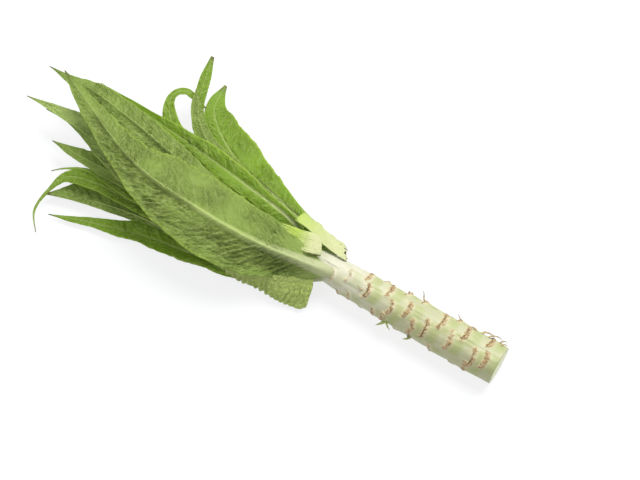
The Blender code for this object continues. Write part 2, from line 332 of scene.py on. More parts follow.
class Tree:
    """A material's node tree, built step by step."""

    def __init__(self, name: str) -> None:
        """Starts an empty material.

        Args:
            name: the material's name.
        """
        self.material = bpy.data.materials.new(name)
        self.material.use_nodes = True
        self.nodes = self.material.node_tree.nodes
        self.links = self.material.node_tree.links
        self.nodes.clear()

    def add(self, kind: str, inputs: dict, **settings: str) -> bpy.types.Node:
        """Adds a node.

        Args:
            kind: the node's kind.
            inputs: an output or a plain value for each input that is plugged or set.
            settings: the node's own settings.

        Returns:
            The node.
        """
        node = self.nodes.new("ShaderNode" + kind)
        for name, choice in settings.items():
            setattr(node, name, choice)
        for name, value in inputs.items():
            if isinstance(value, Socket):
                self.links.new(value, node.inputs[name])
            else:
                node.inputs[name].default_value = value
        return node

    def mark(self, name: str, kind: str = "Fac") -> Socket:
        """Reads a mark that the mesh carries, as a number or, with the kind Vector, as a place."""
        return self.add("Attribute", {}, attribute_name=name).outputs[kind]

    def math(self, how: str, a: object, b: object = 0.0) -> Socket:
        """A step of arithmetic on two values or outputs."""
        return self.add("Math", {0: a, 1: b}, operation=how).outputs[0]

    def times(self, a: object, b: object) -> Socket:
        """The product of two values."""
        return self.math("MULTIPLY", a, b)

    def mix(self, share: object, a: object, b: object) -> Socket:
        """Blends two colours, a at share 0 and b at share 1."""
        return self.add("Mix", {"Factor": share, "A": a, "B": b}, data_type="RGBA").outputs["Result"]

    def tint(self, colour: object, other: object, where: object, most: float) -> Socket:
        """A colour blended towards another where a value is high, at most by a given share."""
        return self.mix(self.times(where, most), colour, other)

    def noise(self, place: object, scale: float, detail: float = 3.0, stretch: tuple = ()) -> Socket:
        """Cloudy noise, about 0.5 on average.

        Args:
            place: where it is read.
            scale: waves in each unit.
            detail: how many finer layers.
            stretch: how the place is scaled along each axis first, where it is.

        Returns:
            The noise's output.
        """
        if stretch:
            place = self.add("VectorMath", {0: place, 1: stretch}, operation="MULTIPLY").outputs[0]
        return self.add("TexNoise", {"Scale": scale, "Detail": detail, "Vector": place}).outputs["Fac"]

    def net(self, place: object, scale: float) -> Socket:
        """How far a place is from the borders of a net of small cells."""
        inputs = {"Scale": scale, "Vector": place}
        return self.add("TexVoronoi", inputs, feature="DISTANCE_TO_EDGE").outputs["Distance"]

    def span(self, value: object, low: float, high: float, to_low: float = 0.0,
             to_high: float = 1.0) -> Socket:
        """Stretches a value from one span to another, and keeps it inside."""
        spans = {"From Min": low, "From Max": high, "To Min": to_low, "To Max": to_high}
        return self.add("MapRange", {"Value": value, **spans}).outputs["Result"]

    def bump(self, height: object, distance: float, strength: float) -> Socket:
        """Fine relief from a height, where a height of 1 stands the distance tall, in metres."""
        inputs = {"Strength": strength, "Distance": distance, "Height": height}
        return self.add("Bump", inputs).outputs["Normal"]

    def surface(self, colour: object, roughness: object, normal: object, thinness: float = 0.0,
                through: object = None, specular: float = 0.5) -> Material:
        """Ends the tree in a surface, with some light passing through a thin sheet.

        Args:
            colour: the surface's colour.
            roughness: how dull it is.
            normal: the relief.
            thinness: share of the light that passes through.
            through: colour of that light.
            specular: strength of the shine.

        Returns:
            The finished material.
        """
        shader = self.add("BsdfPrincipled", {"Base Color": colour, "Roughness": roughness,
                                             "Normal": normal, "Specular IOR Level": specular})
        end = shader.outputs[0]
        if thinness:
            glow = self.add("BsdfTranslucent", {"Color": through, "Normal": normal})
            end = self.add("MixShader", {0: thinness, 1: end, 2: glow.outputs[0]}).outputs[0]
        self.add("OutputMaterial", {"Surface": end})
        return self.material


def shade(red: float, green: float, blue: float) -> tuple:
    """A colour with full cover."""
    return (red, green, blue, 1.0)


@dataclass(frozen=True)
class LeafFinish:
    """Leaf skin: dull outer face with pale veins, brighter and glossier inner face, with painted shade in the
    pucker hollows and fold valleys and painted highlights on the fold crests.

    The colours come first, then how strongly each kind of mark shows, then the sizes of the
    patterns, in waves to the millimetre. Pairs are for the outer and the inner face.
    """

    outer: tuple = shade(0.236, 0.335, 0.064)
    outer_dark: tuple = shade(0.105, 0.155, 0.022)
    inner: tuple = shade(0.180, 0.318, 0.006)
    inner_dark: tuple = shade(0.110, 0.210, 0.003)
    vein: tuple = shade(0.440, 0.530, 0.180)
    base: tuple = shade(0.520, 0.545, 0.310)
    rim: tuple = shade(0.400, 0.540, 0.065)
    tip: tuple = shade(0.100, 0.120, 0.030)
    brown: tuple = shade(0.170, 0.150, 0.060)
    glow: tuple = shade(0.340, 0.560, 0.010)
    clouding: tuple = (0.24, 0.35)
    speckling: float = 0.12
    veining: float = 0.55
    netting: float = 0.08
    # hollowing, folding and cresting set how strong the painted shade in pucker hollows and fold valleys and
    # the painted highlight on fold crests are
    hollow_shading: float = 0.22
    valley_shading: float = 0.30
    crest_highlighting: float = 0.26
    rimming: float = 0.8
    withering: float = 0.7
    glowing: float = 0.65
    thinness: float = 0.34
    wrinkle: float = 1.6
    cloud_scale: float = 0.035
    speck_scale: float = 0.45
    net_scale: float = 0.55
    fold_scale: float = 0.24
    grain_scale: float = 0.9
    dull: tuple = (0.52, 0.36)
    shine: float = 0.3

    def make(self, name: str) -> Material:
        """Builds the material.

        Args:
            name: the material's name.

        Returns:
            The finish, which reads the marks that each leaf carries.
        """
        t = Tree(name)
        place = t.mark("place", "Vector")
        face = t.mark("face")
        clouds = t.span(t.noise(place, self.cloud_scale, 4.0), 0.35, 0.65)
        specks = t.span(t.noise(place, self.speck_scale, 3.0, (0.6, 1.0, 1.0)), 0.3, 0.7)
        outer = t.tint(self.outer, self.outer_dark, clouds, self.clouding[0])
        inner = t.tint(self.inner, self.inner_dark, clouds, self.clouding[1])
        colour = t.tint(t.mix(face, outer, inner), self.rim, specks, self.speckling)
        net = t.net(place, self.net_scale)
        threads = t.times(t.span(net, 0.0, 0.16, 1.0, 0.0), self.netting)
        # the vein mark holds the pale veins and also a painted highlight on the high puckers and pleat crests
        colour = t.mix(t.math("MAXIMUM", t.times(t.mark("vein"), self.veining), threads), colour, self.vein)
        # painted shade: each face's dark colour, laid into the hollows and fold valleys
        painted_shade = t.mix(face, self.outer_dark, self.inner_dark)
        colour = t.tint(colour, painted_shade, t.mark("hollow_shade"), self.hollow_shading)
        crinkle = t.mark("crinkle")
        fold = t.math("ABSOLUTE", t.math("SUBTRACT", t.noise(t.mark("comb", "Vector"), self.fold_scale), 0.5))
        # painted shade in the valleys of the fold pattern and painted highlight on its crests; the crests
        # also feed the bump
        shaded_valley = t.times(t.span(fold, 0.05, 0.15), crinkle)
        crest = t.times(t.span(fold, 0.0, 0.11, 1.0, 0.0), crinkle)
        colour = t.tint(colour, painted_shade, shaded_valley, self.valley_shading)
        colour = t.tint(colour, self.vein, crest, self.crest_highlighting)
        colour = t.tint(colour, self.rim, t.mark("edge"), self.rimming)
        colour = t.mix(t.mark("rib"), colour, self.vein)
        colour = t.mix(t.mark("pale"), colour, self.base)
        ragged = t.times(t.mark("tip"), t.span(t.noise(place, 0.25, 4.0), 0.25, 0.6, 0.4, 1.0))
        colour = t.tint(colour, self.tip, ragged, self.withering)
        colour = t.mix(t.span(ragged, 0.6, 0.95), colour, self.brown)
        rough = t.math("ADD", t.span(face, 0.0, 1.0, *self.dull), t.times(specks, 0.10))
        grain = t.math("ADD", t.times(t.noise(place, self.grain_scale, 4.0), 0.35),
                       t.times(t.span(net, 0.0, 0.3), 0.25))
        relief = t.math("ADD", grain, t.times(crest, self.wrinkle))
        normal = t.bump(relief, 0.6 * MM, 0.9)
        through = t.mix(self.glowing, colour, self.glow)
        return t.surface(colour, rough, normal, self.thinness, through, self.shine)


@dataclass(frozen=True)
class StemFinish:
    """Stem skin: pale and faintly grooved, green below each scar, with brown torn scars."""

    skin: tuple = shade(0.365, 0.365, 0.232)
    white: tuple = shade(0.480, 0.470, 0.375)
    green: tuple = shade(0.285, 0.318, 0.125)
    cream: tuple = shade(0.500, 0.450, 0.280)
    scar: tuple = shade(0.330, 0.225, 0.105)
    scar_dark: tuple = shade(0.110, 0.068, 0.032)
    pith: tuple = shade(0.700, 0.740, 0.500)
    vessel: tuple = shade(0.430, 0.560, 0.240)
    greening: float = 0.25
    speckling: float = 0.35

    def make(self, name: str) -> Material:
        """Builds the material.

        Args:
            name: the material's name.

        Returns:
            The finish, which reads the marks that the stem carries.
        """
        t = Tree(name)
        place = t.mark("place", "Vector")
        threads = t.noise(place, 0.55, 4.0, (0.12, 1.0, 1.0))
        clouds = t.span(t.noise(place, 0.07, 3.0), 0.35, 0.65)
        specks = t.span(t.noise(place, 0.9, 4.0), 0.62, 0.74)
        colour = t.mix(t.mark("white"), self.skin, self.white)
        colour = t.tint(colour, self.green, clouds, self.greening)
        colour = t.tint(colour, self.green, t.span(threads, 0.4, 0.7), self.greening)
        colour = t.mix(t.mark("green"), colour, self.green)
        colour = t.mix(t.mark("cream"), colour, self.cream)
        colour = t.tint(colour, self.cream, specks, self.speckling)
        torn = t.noise(place, 0.55, 5.0)
        scar = t.mix(t.span(torn, 0.52, 0.66), self.scar, self.scar_dark)
        scar = t.mix(t.span(torn, 0.30, 0.46, 0.75, 0.0), scar, self.cream)
        scarred = t.times(t.mark("scar"), t.span(torn, 0.3, 0.5, 0.75, 1.3))
        colour = t.mix(t.span(scarred, 0.2, 0.75), colour, scar)
        cut = t.mix(t.mark("vessel"), self.pith, self.vessel)
        colour = t.mix(t.mark("cut"), colour, cut)
        relief = t.math("ADD", t.times(threads, 0.8), t.times(t.noise(place, 1.4, 4.0), 0.5))
        return t.surface(colour, 0.5, t.bump(relief, 0.5 * MM, 0.55), specular=0.4)


@dataclass(frozen=True)
class DryFinish:
    """Dry torn leaf bases: tan and brown, darker at the ragged edge."""

    tan: tuple = shade(0.480, 0.375, 0.200)
    brown: tuple = shade(0.250, 0.165, 0.075)
    dark: tuple = shade(0.085, 0.050, 0.026)
    green: tuple = shade(0.460, 0.540, 0.220)
    greening: float = 0.6
    darkening: float = 0.75

    def make(self, name: str) -> Material:
        """Builds the material.

        Args:
            name: the material's name.

        Returns:
            The finish, which reads how high each point stands on the stub.
        """
        t = Tree(name)
        place = t.mark("place", "Vector")
        patches = t.span(t.noise(place, 0.45, 4.0), 0.35, 0.65)
        colour = t.mix(patches, self.tan, self.brown)
        height = t.mark("height")
        colour = t.tint(colour, self.green, t.span(height, 0.0, 0.5, 1.0, 0.0), self.greening)
        colour = t.tint(colour, self.dark, t.span(height, 0.55, 1.0), self.darkening)
        return t.surface(colour, 0.7, t.bump(t.noise(place, 1.2, 5.0), 0.4 * MM, 0.8), specular=0.2)


# The sheets' finish: young leaf tissue is a paler yellow-green, and it is made brighter still as painted
# light on the lobe, which faces away from the key lamp.
YOUNG_BRIGHTENED_LEAF = LeafFinish(
    outer=shade(0.490, 0.625, 0.100), outer_dark=shade(0.290, 0.410, 0.045),
    vein=shade(0.600, 0.660, 0.300), base=shade(0.640, 0.650, 0.360),
)
# Painted light: a brighter copy of the leaf finish for the two left leaves, which lie in the top leaf's
# shadow.
PAINTED_LIGHT_LEAF = LeafFinish(outer=shade(0.430, 0.560, 0.170), outer_dark=shade(0.230, 0.320, 0.070))
GREEN_SPIKE = DryFinish(tan=shade(0.330, 0.400, 0.100), brown=shade(0.260, 0.300, 0.080))


# ---------------------------------------------------------------- leaves


@dataclass(frozen=True)
class LeafPlan:
    """One leaf, described from the stem to its tip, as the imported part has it, with its surface.

    root is the place along the stem and the angle round it where the leaf grows, and spine the
    places that its midrib passes after that. roll turns the blade about its midrib, 0 with the
    inner face up and 180 with the outer face up, and fold lifts both halves. low and high are the
    widths of the two halves. Each row of numbers is read evenly along the leaf. rib and rib_half
    are the midrib's height and half its width at the base, spacing is between side veins, and from
    the share turned on, the outer face is coloured as the inner one. crinkle is how puckered each
    half is. A dent is a share along, a place across, a length, a width and a height.
    """

    name: str
    root: tuple
    spine: tuple
    roll: tuple
    fold: tuple
    low: tuple
    high: tuple
    rib: float = 2.6
    rib_half: float = 4.0
    slot: Slot = Slot.OUTER
    sink: float = 1.5
    turned: float = 2.0
    crinkle: tuple = (1.35, 1.35)
    wave: float = 1.0
    ruffle: float = 1.2
    spacing: float = 13.0
    tip_dark: float = 0.06
    fineness: float = 1.25
    dents: tuple = ()


LEAF_PLANS = (
    LeafPlan(
        name="leaf_top",
        root=(9, -31), sink=3.2,
        spine=((-27, -17, 47), (-62, -26, 57), (-104, -30, 64), (-146, -29, 68),
               (-192, -25, 68), (-238, -11, 64), (-284, 10, 58), (-337, 35, 52)),
        roll=(148, 176, 180, 178), fold=(14, 16, 12), rib=4.5, rib_half=8.5,
        fineness=0.95, spacing=15.0, wave=1.4, crinkle=(1.8, 1.25),
        dents=((0.12, -26, 42, 14, 7.0), (0.43, 18, 11, 7, 3.2), (0.24, 17, 24, 6, 3.0),
               (0.60, 21, 4.5, 13, 2.6), (0.53, 24, 15, 12, -2.6), (0.36, -20, 20, 9, 1.2),
               (0.17, -13, 20, 5, 1.5)),
        low=(2.5, 16, 24, 33, 37, 38, 36.5, 32.5, 26, 19.5, 16, 13.5, 11, 7, 0.6),
        high=(2.5, 11, 22, 31, 36.5, 39, 40.5, 40, 36, 26, 19.5, 15, 9.5, 5.5, 0.6),
    ),
    LeafPlan(
        name="leaf_top_back",
        root=(-14, 12),
        spine=((-50, 4, 44), (-101, 4, 49), (-150, 7, 51), (-200, 15, 51),
               (-250, 25, 49), (-305, 34, 44), (-360, 37, 38)),
        roll=(192, 180, 178), fold=(10, 8, 6), rib=3.4,
        low=(5, 8, 12, 17, 21, 23, 24, 23, 21, 17, 11, 6.5, 0.4),
        high=(4, 4, 5, 6, 8, 11, 14.3, 14.8, 15.3, 13.7, 11.4, 3.5, 0.4),
    ),
    LeafPlan(
        name="leaf_left_long",
        root=(-32, 4),
        spine=((-80, -2, 40), (-130, -9, 43), (-180, -10, 44), (-235, -3, 42),
               (-295, 4, 39), (-361, -2, 34)),
        roll=(184, 182, 178), fold=(6, 6, 6),
        low=(4, 6, 9, 12, 15, 17, 18, 18, 16, 13, 10, 5.3, 0.4),
        high=(4, 6, 9, 12, 15, 17, 18, 18, 15, 9, 4.5, 2.2, 0.4),
    ),
    LeafPlan(
        name="leaf_left_broad",
        root=(-26, -48),
        spine=((-70, -20, 32), (-115, -23, 34), (-165, -22, 36), (-217, -12, 35),
               (-280, -1, 31), (-339, -1, 26)),
        roll=(132, 158, 176, 182, 182, 180, 180), fold=(5, 5, 6),
        low=(4, 6, 9, 12, 15, 18, 20, 21.5, 20.7, 17.7, 10.3, 2.8, 0.4),
        high=(4, 6, 9, 12, 15, 17, 18, 18, 17, 14, 11, 6.5, 0.6),
    ),
    LeafPlan(
        name="leaf_left_narrow",
        root=(-48, -30),
        spine=((-100, -12, 29), (-165, -20, 30), (-230, -26, 28), (-273, -27, 26),
               (-314, -26, 22)),
        roll=(150, 176, 180, 180, 184), fold=(8, 6, 6),
        rib=1.6, rib_half=2.6,
        low=(4, 5, 6, 7, 8, 9, 9, 9, 8.5, 8, 6.4, 4.6, 0.4),
        high=(4, 5, 6, 7, 8, 9, 10, 11, 12, 12.5, 11.8, 5.9, 0.6),
    ),
    LeafPlan(
        name="leaf_left_curled",
        root=(-42, -104),
        spine=((-100, -26, 22.5), (-165, -33, 25), (-225, -35, 24), (-262, -35, 23),
               (-285, -44, 20), (-297, -53, 17)),
        roll=(76, 26, 8, 6, 6, 8, 10), fold=(6, 6, 8),
        rib=1.6, rib_half=2.6, slot=Slot.INNER,
        low=(4, 5, 6, 7, 8, 8, 8, 8, 7, 5, 2.4, 1.2, 0.3),
        high=(4, 5, 6, 7, 8, 8, 8, 8, 7, 5, 3, 1.7, 0.3),
    ),
    LeafPlan(
        name="leaf_left_drooping",
        root=(-34, -140),
        spine=((-90, -24, 17.5), (-150, -37, 20), (-205, -41, 21), (-248, -42, 20),
               (-278, -51, 19), (-288, -72, 14), (-289, -95, 8), (-276, -112, 3)),
        roll=(40, 8, 4, 2, 0, 0, 0), fold=(6, 6, 8), rib=1.6,
        rib_half=2.6, slot=Slot.INNER,
        low=(4, 5, 7, 8, 9, 9.5, 9.5, 9.5, 9.3, 8.7, 2.4, 1.4, 0.4),
        high=(4, 5, 6, 7, 8, 8, 8, 8, 8, 7.6, 3.0, 1.2, 0.4),
    ),
    LeafPlan(
        name="leaf_front_ribbed",
        root=(0, -84),
        spine=((-40, -35, 24), (-90, -47, 15), (-140, -47, 15), (-186, -47, 15),
               (-230, -54, 14), (-262, -63, 13), (-288, -75, 12)),
        roll=(96, 140, 172, 178, 180, 180, 180), fold=(8, 7, 8),
        low=(5, 5, 5, 5, 5, 5, 4, 3, 2.8, 4.7, 6.9, 6.8, 5.5, 3.7, 0.8),
        high=(5, 8, 11, 14, 16, 18, 20, 21, 22, 23, 23.5, 23, 19.5, 13.5, 1.2),
    ),
    LeafPlan(
        name="leaf_front_low",
        root=(-2, -140),
        spine=((-45, -24, 6.5), (-90, -44, 8), (-135, -53, 8), (-180, -61, 8),
               (-230, -75, 7), (-276, -90, 5)),
        roll=(40, 4, 0, 0, 0, 0, 0), fold=(4, 4, 6),
        rib=1.2, rib_half=2.6, slot=Slot.INNER,
        low=(4, 6, 8, 10, 12, 13, 13, 13, 13.8, 9.6, 6.4, 2.8, 0.4),
        high=(4, 6, 8, 9, 9, 9, 10, 10.9, 8.2, 8.1, 4.8, 3.6, 0.5),
    ),
    LeafPlan(
        name="leaf_front_under",
        root=(-28, -174),
        spine=((-50, -9, 3.2), (-75, -23, 2.6), (-110, -36, 2.6), (-150, -46, 2.6), (-205, -50, 2.6)),
        roll=(20, 0, 0, 0, 0), fold=(2, 2, 4), rib=1.4,
        rib_half=2.6, slot=Slot.INNER, wave=0.3, ruffle=0.5,
        low=(3, 6, 9, 12, 14, 15, 15, 14, 12, 9, 6, 3, 0.5),
        high=(3, 8, 14, 19, 22.8, 22.5, 19.8, 19, 19.5, 13, 6, 3, 0.5),
    ),
    LeafPlan(
        name="leaf_back_folded",
        root=(-22, 58),
        spine=((-60, 21, 35), (-115, 29, 35), (-165, 36, 34), (-200, 40, 34),
               (-240, 44, 32), (-274, 49, 29), (-310, 54, 24)),
        roll=(-100, -30, -12, -10, -12, -12, -14), fold=(8, 18, 24),
        rib=1.6, rib_half=2.6, slot=Slot.INNER,
        low=(4, 5, 5.6, 7, 11.5, 12.8, 13.5, 11, 9.5, 6.5, 4.6, 2.1, 0.3),
        high=(4, 9, 13.5, 11.5, 12.4, 13.1, 9.9, 6.3, 4.0, 2.2, 1.4, 0.9, 0.3),
    ),
    LeafPlan(
        name="leaf_back_looped",
        root=(-46, 76),
        spine=((-74, 16, 22), (-100, 24, 22), (-150, 33, 23), (-185, 41, 24), (-212, 47, 26),
               (-228, 59, 29), (-235, 71, 32), (-234, 81, 34), (-226, 88, 33), (-216, 88.5, 27),
               (-203, 87, 21)),
        roll=(-104, -40, -8, 0, 0, 0, 0), fold=(6, 6, 10),
        rib=1.2, rib_half=2.4,
        low=(4, 5, 7, 8, 7, 6.5, 6.5, 7, 8, 7, 4.2, 3.8, 0.8),
        high=(4, 5, 7, 9, 10, 11, 11, 11, 10.5, 7.5, 4.2, 3.6, 0.8),
    ),
    LeafPlan(
        name="leaf_back_upright",
        root=(-36, 118),
        spine=((-80, 28, 16.5), (-135, 41, 18), (-180, 56, 20), (-205, 76, 29),
               (-214, 100, 37), (-223, 132, 42)),
        roll=(-62, -120, -158, -172, -176, -176, -176, -174, -172, -170, -168, -168, -168),
        fold=(4, 6, 16), rib=1.2, rib_half=2.4,
        low=(4, 5, 7, 9, 11, 12, 12, 11, 9, 7.5, 6.3, 5.6, 2.0), turned=0.80,
        high=(4, 5, 7, 9, 11, 12, 12, 10, 8, 6.5, 6.3, 5.6, 2.0),
    ),
    LeafPlan(
        name="leaf_back_broad",
        root=(0, 108),
        spine=((-40, 30, 13), (-85, 42, 11), (-127, 51, 11), (-169, 68.5, 11),
               (-199, 94.4, 9), (-206, 127, 6)),
        roll=(-72, -30, -8, 0, 0, 14, 24), fold=(2, -10, -14, -12, 10),
        rib=1.6, rib_half=3.0, slot=Slot.INNER, wave=0.6, ruffle=0.4,
        low=(5, 9, 9, 8.5, 12, 18, 23.5, 26.8, 27.5, 26, 21.5, 10, 1.5),
        high=(5, 7, 9, 11, 10.5, 9.5, 8.5, 7.5, 7, 11, 10.5, 7.5, 2),
    ),
    LeafPlan(
        name="leaf_back_under",
        root=(-36, 164),
        spine=((-60, 22, 2.6), (-100, 38, 2.6), (-150, 54, 2.6), (-195, 66, 2.6)),
        roll=(-22, 0, 0, 0, 0), fold=(2, 2, 4), rib=1.4, rib_half=2.6, slot=Slot.INNER, wave=0.3, ruffle=0.5,
        low=(3, 7, 14, 18.5, 17, 12.5, 8, 3.5, 1), high=(3, 7, 14, 18.5, 17, 12.5, 8, 3.5, 1),
    ),
)


@dataclass(frozen=True)
class Lay:
    """How a smooth blade lies, as rows of points along it and columns across it.

    share runs from 0 to 1 along the leaf and v from -1 to 1 across it. s and t are the same places
    in millimetres, width is the width of the half that each point is in, middle the points and
    normal the way that the inner face looks.
    """

    share: Array
    v: Array
    s: Array
    t: Array
    width: Array
    length: float
    middle: Array
    normal: Array


@dataclass
class Leaf:
    """A thin leaf blade with its midrib, veins, puckers and wavy margins.

    Lengths are in millimetres. A size is a pair, how long a pattern is along the leaf and how wide
    across it.
    """

    plan: LeafPlan
    seed: float
    thickness: float = 1.0
    margin_thickness: float = 0.4
    crease: float = 3.0
    least_width: float = 0.3
    fewest_columns: int = 16
    vein_slant: float = 0.62
    vein_bend: float = 0.011
    vein_half: float = 0.09
    pucker_depth: float = 2.7
    fine_depth: float = 0.6
    vein_depth: float = 1.0
    pucker_size: tuple = (6.4, 11.5)
    fine_size: tuple = (2.4, 4.2)
    crest_size: tuple = (4.4, 8.0)
    small_crest_size: tuple = (2.1, 5.0)
    patch_size: tuple = (24.0, 15.0)

    def feather(self, s: Array, t: Array) -> Array:
        """Place along the midrib at which a side vein through each point would leave it.

        Args:
            s: place along the leaf, in millimetres.
            t: place across it, in millimetres.

        Returns:
            The place along the midrib, in millimetres.
        """
        away = np.abs(t)
        wander = 2.2 * waves(s, t, (26, 16), self.seed) + waves(s, t, (9, 8), self.seed + 3)
        return s - self.vein_slant * away - self.vein_bend * away ** 2 + wander

    def veins(self, combed: Array, t: Array, v: Array) -> Array:
        """The side veins, which leave the midrib in a feather pattern and bend to the tip.

        Args:
            combed: where a vein through each point would leave the midrib.
            t: place across the leaf, in millimetres.
            v: place across it, -1 to 1.

        Returns:
            How near each point is to a vein, 0 to 1.
        """
        phase = combed / self.plan.spacing + np.where(t < 0, 0.45, 0.0)
        nearest = np.round(phase)
        strength = 0.35 + 0.65 * chance(nearest, np.sign(t), self.seed)
        line = bump_at(phase - nearest, 0.0, self.vein_half) * strength
        fade = 1.0 - 0.7 * smooth(0.5, 1.0, np.abs(v))
        return np.clip(line * fade, 0.0, 1.0)

    def lay(self) -> Lay:
        """Lays the smooth blade along its midrib, rolled and folded.

        Returns:
            The smooth blade.
        """
        p = self.plan
        root = stem_point(p.root[0], math.radians(p.root[1]), -p.sink)
        places = np.vstack([root, np.asarray(p.spine, float)])
        length = even_line(places, 3)[1]
        rows = int(length / p.fineness) + 1
        columns = max(2 * int(max(p.low + p.high) / p.fineness), self.fewest_columns) + 1
        line = even_line(places, rows)[0]
        share = np.linspace(0.0, 1.0, rows)
        tangent = unit(np.gradient(line, axis=0))
        level = unit(np.array([0.0, 0.0, 1.0]) - tangent * tangent[:, 2:3])
        turn = np.radians(along(p.roll, share))[:, None]
        inner = level * np.cos(turn) + np.cross(tangent, level) * np.sin(turn)
        side = np.cross(inner, tangent)
        fold = np.radians(along(p.fold, share))[:, None]
        v = np.linspace(-1.0, 1.0, columns)[None, :]
        low, high = along(p.low, share)[:, None], along(p.high, share)[:, None]
        width = np.maximum(np.where(v < 0, low, high), self.least_width)
        s = (share * length)[:, None] + 0 * v
        wobble = 1 + 0.035 * ripple(s / 9, np.sign(v) * 3, self.seed + 9) * smooth(0.6, 1.0, np.abs(v))
        t = v * width * wobble
        round_crease = np.sqrt(t ** 2 + self.crease ** 2)
        lean = t / round_crease
        rise = (round_crease - self.crease) * np.sin(fold)
        spread = t * np.cos(fold)
        normal = unit(inner[:, None, :] * np.cos(fold)[..., None]
                      - side[:, None, :] * (lean * np.sin(fold))[..., None])
        middle = (line[:, None, :] + side[:, None, :] * spread[..., None]
                  + inner[:, None, :] * rise[..., None])
        return Lay(share[:, None], v + 0 * s, s, t, width, length, middle, normal)

    def dress(self, lay: Lay) -> tuple[Array, Array, dict[str, Array]]:
        """Works out the blade's relief and the marks that its finish reads.

        Args:
            lay: the smooth blade.

        Returns:
            How far the skin is lifted, how much each point is on the midrib, and the marks.
        """
        p, seed = self.plan, self.seed
        share, v, s, t = lay.share, lay.v, lay.s, lay.t
        out = np.abs(v)
        body = smooth(0.02, 0.14, share) * (1 - 0.5 * smooth(0.9, 1.0, share))
        roomy = np.clip(lay.width / 20.0, 0.15, 1.0)
        combed = self.feather(s, t)
        vein = self.veins(combed, t, v)
        rib_half = p.rib_half * (1 - share) ** 1.6 + 0.7
        on_rib = np.clip(1 - np.abs(t) / rib_half, 0.0, 1.0)
        off_rib = smooth(0.0, 0.35, 1 - on_rib)

        crests = 1 - np.abs(waves(combed, t, self.crest_size, seed + 2)
                            + 0.5 * waves(combed, t, self.small_crest_size, seed + 5))
        hills = cells(combed / self.pucker_size[0], t / self.pucker_size[1], seed + 2) ** 0.7
        pucker = 0.45 * hills + 0.55 * np.clip(crests, 0.0, 1.0) ** 1.5
        fine = cells(combed / self.fine_size[0], t / self.fine_size[1], seed + 4)
        patchy = 0.8 + 0.6 * waves(s, t, self.patch_size, seed + 12)
        rough = np.where(t < 0, p.crinkle[0], p.crinkle[1]) * patchy * (1 - 0.55 * smooth(0.7, 1.0, out))
        relief = rough * roomy * off_rib * body * (
            self.pucker_depth * pucker + self.fine_depth * fine - self.vein_depth * vein)
        big = p.wave * body * roomy * (
            1.3 * ripple(s / 34, t / 22 + 4, seed + 6) + 0.7 * waves(s, t, (15, 12), seed + 7))
        frill = p.ruffle * out ** 3 * roomy * body * (
            np.sin(2 * np.pi * (s / 19 + 0.9 * ripple(s / 30, np.sign(v), seed + 8)))
            + 0.5 * np.sin(2 * np.pi * s / 8.3 + 2 * v))
        shift = relief + big * smooth(0.05, 0.6, out) + frill
        for at, across, dent_length, dent_width, depth in p.dents:
            shift = shift + depth * bump_at(s, at * lay.length, dent_length) * bump_at(t, across, dent_width)

        def both(values: Array, under: Array | None = None) -> Array:
            """One mark for the points of both faces."""
            values = np.broadcast_to(values, v.shape)
            return two_faces(values, values if under is None else np.broadcast_to(under, v.shape)).reshape(-1)

        puffed = np.clip(rough, 0.0, 1.4) * off_rib * body
        pale = (1 - smooth(0.02, 0.30, share)) * smooth(0.0, 0.5, on_rib + 0.15 * (1 - share) ** 6)
        marks = {
            "place": np.stack([both(s), both(t), both(0 * s, 0 * s + 40 + 9 * seed)], axis=1),
            "comb": np.stack([both(combed), both(t), both(0 * s + 7 * seed)], axis=1),
            "crinkle": both(0.6 * puffed, puffed),
            "face": both(1 + 0 * s, smooth(p.turned, p.turned + 0.012, share + 0.05 * v)),
            # vein holds the pale side veins plus a painted highlight where the pucker pattern is high; hollow
            # is painted shade where it is low
            "vein": both(0.5 * puffed * np.maximum(vein, 0.6 * smooth(0.45, 0.9, pucker)),
                         puffed * np.maximum(vein, 0.55 * smooth(0.5, 0.95, pucker))),
            "hollow_shade": both(0.6 * puffed * smooth(0.55, 0.15, pucker), puffed * smooth(0.6, 0.15, pucker)),
            "edge": both(smooth(0.90, 1.0, out) * body,
                         0.6 * smooth(0.92, 1.0, out) * smooth(0.2, 0.4, share)),
            "rib": both(smooth(0.1, 0.6, on_rib) * (1 - 0.45 * share)),
            "pale": both(pale * 0.8, pale),
            "tip": both(smooth(1 - p.tip_dark, 1.0, share)),
        }
        return shift, on_rib, marks

    def build(self, bench: Bench, material: Material) -> None:
        """Builds the blade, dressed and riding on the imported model.

        Args:
            bench: makes the mesh object.
            material: the leaf finish.
        """
        p = self.plan
        lay = self.lay()
        shift, on_rib, marks = self.dress(lay)
        thick = 0.5 * (self.margin_thickness
                       + (self.thickness - self.margin_thickness) * (1 - np.abs(lay.v) ** 4))
        rib = p.rib * np.minimum(1.0, 0.25 + lay.share / 0.08) * (1 - lay.share) ** 1.3
        rounded = 0.5 - 0.5 * np.cos(np.pi * on_rib)
        ridge = rib * rounded ** 0.9
        groove = 0.35 * rib * rounded
        upper = lay.middle + lay.normal * (shift + thick - groove)[..., None]
        lower = lay.middle + lay.normal * (shift - thick - ridge)[..., None]
        ring = two_faces(upper, lower)
        rows, around = ring.shape[:2]
        made = bench.piece(p.name + "_blade", ring.reshape(-1, 3), capped_tube(rows, around), marks, material)
        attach(made, "root")
        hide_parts(p.name)
        log.info("%s: %d rows of %d", p.name, rows, around)


